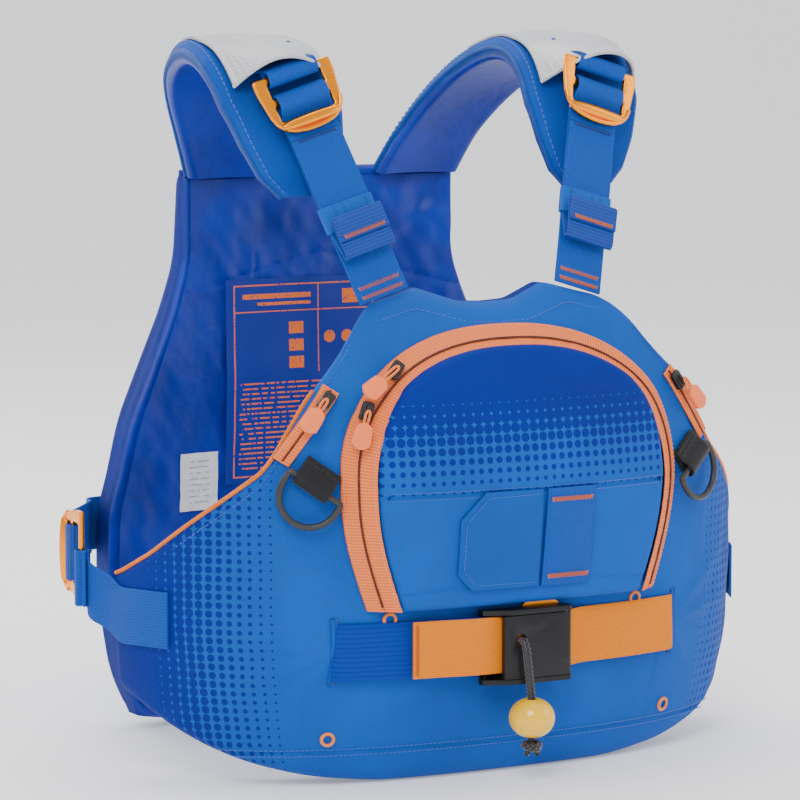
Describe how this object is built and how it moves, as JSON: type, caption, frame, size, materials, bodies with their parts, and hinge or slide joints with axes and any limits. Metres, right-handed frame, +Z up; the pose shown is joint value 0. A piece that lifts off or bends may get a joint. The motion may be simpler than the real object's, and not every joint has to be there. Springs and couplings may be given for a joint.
{
  "type": "buoyancy compensator vest",
  "caption": "Sleeveless pull-on flotation vest with foam panels, adjustable shoulder and side straps, zipped front pocket, tool rings and a quick-release chest belt with a toggle.",
  "frame": {"origin": "on the surface it stands on, under the middle of its footprint, without the free toggle cord", "axes": "+Z up towards the shoulders, -Y towards the front of the chest, +X towards the right of the front view"},
  "size_m": [0.5006, 0.3666, 0.4943],
  "materials": {
    "cover_fabric": "printed ripstop nylon",
    "pad_fabric": "ripstop nylon with bound edges",
    "lining_fabric": "coated nylon lining",
    "foam": "closed-cell foam sheets",
    "reflective": "retroreflective film with a honeycomb grid",
    "webbing_blue": "woven herringbone webbing",
    "elastic_blue": "woven elastic",
    "webbing_orange": "woven polyester webbing",
    "zip_orange": "reversed coil zip tape",
    "pull_orange": "moulded pull on a cord loop",
    "anodised_gold": "gold anodised, satin",
    "black_plastic": "moulded acetal",
    "black_fabric": "coated fabric",
    "black_metal": "black coated zinc",
    "pin_steel": "stainless pin",
    "yellow_plastic": "glossy moulded ball",
    "cord_black": "braided cord with grey flecks",
    "label_white": "satin care label, left blank"
  },
  "bodies": {
    "torso": {"front_cover": "cover_fabric", "front_foam": "foam", "front_lining": "lining_fabric", "back_cover": "cover_fabric", "back_foam": "foam", "back_lining": "lining_fabric", "pocket_zip_tape_vest": "zip_orange", "belt_blue": "webbing_blue", "belt_orange": "webbing_orange", "buckle_frame": "black_plastic", "buckle_pin": "pin_steel", "triglide": "anodised_gold", "care_label": "label_white", "left_shoulder_pad": "pad_fabric", "left_reflective_patch": "reflective", "left_strap_anchor": "webbing_blue", "left_shoulder_strap": "webbing_blue", "left_strap_tail": "webbing_blue", "left_side_anchor": "webbing_blue", "left_side_strap": "webbing_blue", "left_d_ring_tab": "black_fabric", "left_side_zip_tape": "zip_orange", "right_shoulder_pad": "pad_fabric", "right_reflective_patch": "reflective", "right_strap_anchor": "webbing_blue", "right_shoulder_strap": "webbing_blue", "right_strap_tail": "webbing_blue", "right_side_anchor": "webbing_blue", "right_side_strap": "webbing_blue", "right_d_ring_tab": "black_fabric", "right_side_zip_tape": "zip_orange"},
    "left_shoulder_slider": {"left_shoulder_slider": "anodised_gold", "left_strap_loop": "webbing_blue"},
    "left_strap_keeper": {"left_strap_keeper": "elastic_blue"},
    "left_side_slider": {"left_side_slider": "anodised_gold", "left_side_loop": "webbing_blue"},
    "left_d_ring": {"left_d_ring": "black_plastic"},
    "left_side_zip_slider": {"left_side_zip_slider": "black_metal"},
    "left_side_zip_pull": {"left_side_zip_pull": "pull_orange"},
    "right_shoulder_slider": {"right_shoulder_slider": "anodised_gold", "right_strap_loop": "webbing_blue"},
    "right_strap_keeper": {"right_strap_keeper": "elastic_blue"},
    "right_side_slider": {"right_side_slider": "anodised_gold", "right_side_loop": "webbing_blue"},
    "right_d_ring": {"right_d_ring": "black_plastic"},
    "right_side_zip_slider": {"right_side_zip_slider": "black_metal"},
    "right_side_zip_pull": {"right_side_zip_pull": "pull_orange"},
    "pocket_panel": {"pocket_panel": "cover_fabric", "pocket_zip_tape_panel": "zip_orange", "lash_patch": "cover_fabric", "lash_webbing": "webbing_blue"},
    "pocket_upper_zip_slider": {"pocket_upper_zip_slider": "black_metal"},
    "pocket_upper_zip_pull": {"pocket_upper_zip_pull": "pull_orange"},
    "pocket_lower_zip_slider": {"pocket_lower_zip_slider": "black_metal"},
    "pocket_lower_zip_pull": {"pocket_lower_zip_pull": "pull_orange"},
    "buckle_lever": {"buckle_lever": "black_plastic"},
    "toggle": {"toggle_cord": "cord_black", "toggle_ball": "yellow_plastic", "toggle_knot": "cord_black"}
  },
  "joints": [
    {"name": "left_shoulder_slider_tilt", "type": "hinge", "parent": "torso", "child": "left_shoulder_slider", "pos_m": [-0.12047, -0.05618, 0.46951], "axis": [-0.9556, 0, -0.2946], "range_deg": [0, 40]},
    {"name": "left_strap_keeper_slide", "type": "slide", "parent": "torso", "child": "left_strap_keeper", "axis": [-0.2796, 0.3152, 0.9069], "range_m": [0, 0.035]},
    {"name": "left_side_slider_tilt", "type": "hinge", "parent": "torso", "child": "left_side_slider", "pos_m": [-0.24491, 0.01189, 0.146], "axis": [0, 0, 1], "range_deg": [0, 35]},
    {"name": "left_d_ring_swing", "type": "hinge", "parent": "torso", "child": "left_d_ring", "pos_m": [-0.14886, -0.13862, 0.20378], "axis": [-0.7325, 0.3961, 0.5537], "range_deg": [0, 100]},
    {"name": "left_side_zip_run", "type": "slide", "parent": "torso", "child": "left_side_zip_slider", "axis": [-0.5801, 0.1433, -0.8019], "range_m": [0, 0.033]},
    {"name": "left_side_zip_pull_swing", "type": "hinge", "parent": "left_side_zip_slider", "child": "left_side_zip_pull", "pos_m": [-0.13823, -0.14044, 0.25948], "axis": [-0.7323, 0.3535, 0.5821], "range_deg": [0, 110]},
    {"name": "right_shoulder_slider_tilt", "type": "hinge", "parent": "torso", "child": "right_shoulder_slider", "pos_m": [0.12047, -0.05618, 0.46951], "axis": [-0.9556, 0, 0.2946], "range_deg": [0, 40]},
    {"name": "right_strap_keeper_slide", "type": "slide", "parent": "torso", "child": "right_strap_keeper", "axis": [0.2796, 0.3152, 0.9069], "range_m": [0, 0.035]},
    {"name": "right_side_slider_tilt", "type": "hinge", "parent": "torso", "child": "right_side_slider", "pos_m": [0.24491, 0.01189, 0.146], "axis": [0, 0, -1], "range_deg": [0, 35]},
    {"name": "right_d_ring_swing", "type": "hinge", "parent": "torso", "child": "right_d_ring", "pos_m": [0.14886, -0.13862, 0.20378], "axis": [-0.7325, -0.3961, -0.5537], "range_deg": [0, 100]},
    {"name": "right_side_zip_run", "type": "slide", "parent": "torso", "child": "right_side_zip_slider", "axis": [0.5801, 0.1433, -0.8019], "range_m": [0, 0.033]},
    {"name": "right_side_zip_pull_swing", "type": "hinge", "parent": "right_side_zip_slider", "child": "right_side_zip_pull", "pos_m": [0.13823, -0.14044, 0.25948], "axis": [-0.7323, -0.3535, -0.5821], "range_deg": [0, 110]},
    {"name": "pocket_panel_fold", "type": "hinge", "parent": "torso", "child": "pocket_panel", "pos_m": [0, -0.16521, 0.1196], "axis": [1, 0, 0], "range_deg": [0, 60]},
    {"name": "pocket_upper_zip_run", "type": "hinge", "parent": "torso", "child": "pocket_upper_zip_slider", "pos_m": [-0.02044, -0.16502, 0.18333], "axis": [0.0014, 0.9696, -0.2448], "range_deg": [0, 23]},
    {"name": "pocket_upper_zip_pull_swing", "type": "hinge", "parent": "pocket_upper_zip_slider", "child": "pocket_upper_zip_pull", "pos_m": [-0.08994, -0.14846, 0.28014], "axis": [-0.5388, 0.44, 0.7184], "range_deg": [0, 110]},
    {"name": "pocket_lower_zip_run", "type": "hinge", "parent": "torso", "child": "pocket_lower_zip_slider", "pos_m": [0.00191, -0.13041, 0.1944], "axis": [0.146, -0.9888, 0.0296], "range_deg": [0, 44]},
    {"name": "pocket_lower_zip_pull_swing", "type": "hinge", "parent": "pocket_lower_zip_slider", "child": "pocket_lower_zip_pull", "pos_m": [-0.11458, -0.15327, 0.25269], "axis": [-0.9153, 0.2804, 0.2891], "range_deg": [0, 110]},
    {"name": "buckle_lever_open", "type": "hinge", "parent": "torso", "child": "buckle_lever", "pos_m": [0.028, -0.166, 0.091], "axis": [0, 0, 1], "range_deg": [0, 100]},
    {"name": "toggle_swing", "type": "hinge", "parent": "buckle_lever", "child": "toggle", "pos_m": [-0.008, -0.1688, 0.096], "axis": [-1, 0, 0], "range_deg": [0, 70]}
  ]
}
